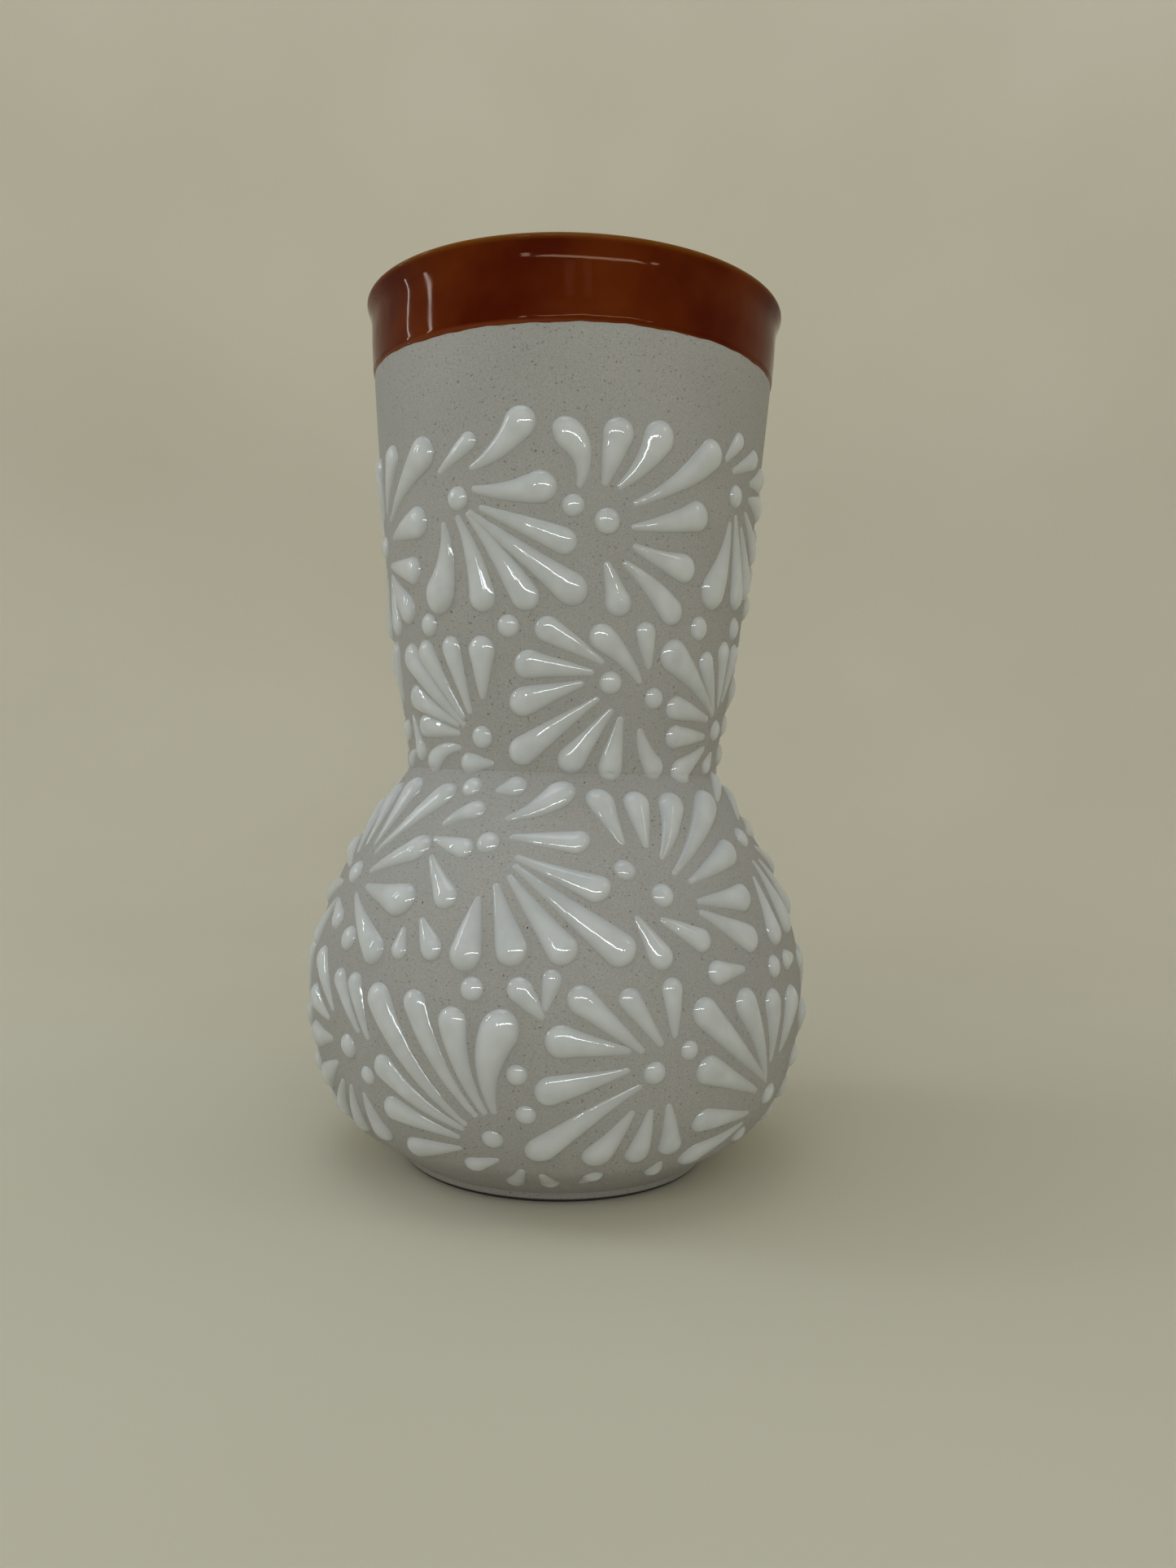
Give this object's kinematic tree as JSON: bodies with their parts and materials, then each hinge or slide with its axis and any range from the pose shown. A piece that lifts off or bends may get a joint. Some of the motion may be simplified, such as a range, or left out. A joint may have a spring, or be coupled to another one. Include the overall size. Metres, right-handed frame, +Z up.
{
  "type": "vase",
  "caption": "Round-bellied pottery vase with a flaring neck, a glossy brown rim and raised white enamel flowers.",
  "frame": {"origin": "centre of the underside of the foot, on the surface that the vase stands on", "axes": "+Z up through the mouth; -Y towards the front; X to the right seen from the front"},
  "size_m": [0.149, 0.1502, 0.25],
  "materials": {
    "clay": "matt, sandy, unglazed",
    "brown_glaze": "glossy",
    "white_enamel": "glossy"
  },
  "bodies": {
    "root": {"belly": "clay", "flower_belly_1": "white_enamel", "flower_belly_10": "white_enamel", "flower_belly_2": "white_enamel", "flower_belly_3": "white_enamel", "flower_belly_4": "white_enamel", "flower_belly_5": "white_enamel", "flower_belly_6": "white_enamel", "flower_belly_7": "white_enamel", "flower_belly_8": "white_enamel", "flower_belly_9": "white_enamel", "flower_collar_1": "white_enamel", "flower_collar_2": "white_enamel", "flower_collar_3": "white_enamel", "flower_collar_4": "white_enamel", "flower_collar_5": "white_enamel", "flower_collar_6": "white_enamel", "flower_collar_7": "white_enamel", "flower_collar_8": "white_enamel", "flower_neck_1": "white_enamel", "flower_neck_2": "white_enamel", "flower_neck_3": "white_enamel", "flower_neck_4": "white_enamel", "flower_neck_5": "white_enamel", "flower_neck_6": "white_enamel", "flower_neck_7": "white_enamel", "flower_neck_8": "white_enamel", "flower_shoulder_1": "white_enamel", "flower_shoulder_2": "white_enamel", "flower_shoulder_3": "white_enamel", "flower_shoulder_4": "white_enamel", "flower_shoulder_5": "white_enamel", "flower_shoulder_6": "white_enamel", "flower_shoulder_7": "white_enamel", "flower_shoulder_8": "white_enamel", "glaze_lining": "brown_glaze", "loose_dot_1": "white_enamel", "loose_dot_10": "white_enamel", "loose_dot_11": "white_enamel", "loose_dot_12": "white_enamel", "loose_dot_13": "white_enamel", "loose_dot_14": "white_enamel", "loose_dot_2": "white_enamel", "loose_dot_3": "white_enamel", "loose_dot_4": "white_enamel", "loose_dot_5": "white_enamel", "loose_dot_6": "white_enamel", "loose_dot_7": "white_enamel", "loose_dot_8": "white_enamel", "loose_dot_9": "white_enamel", "loose_petal_1": "white_enamel", "loose_petal_2": "white_enamel", "loose_petal_3": "white_enamel", "loose_petal_4": "white_enamel", "loose_petal_5": "white_enamel", "loose_petal_6": "white_enamel", "neck": "clay", "rim_glaze": "brown_glaze"}
  },
  "joints": []
}
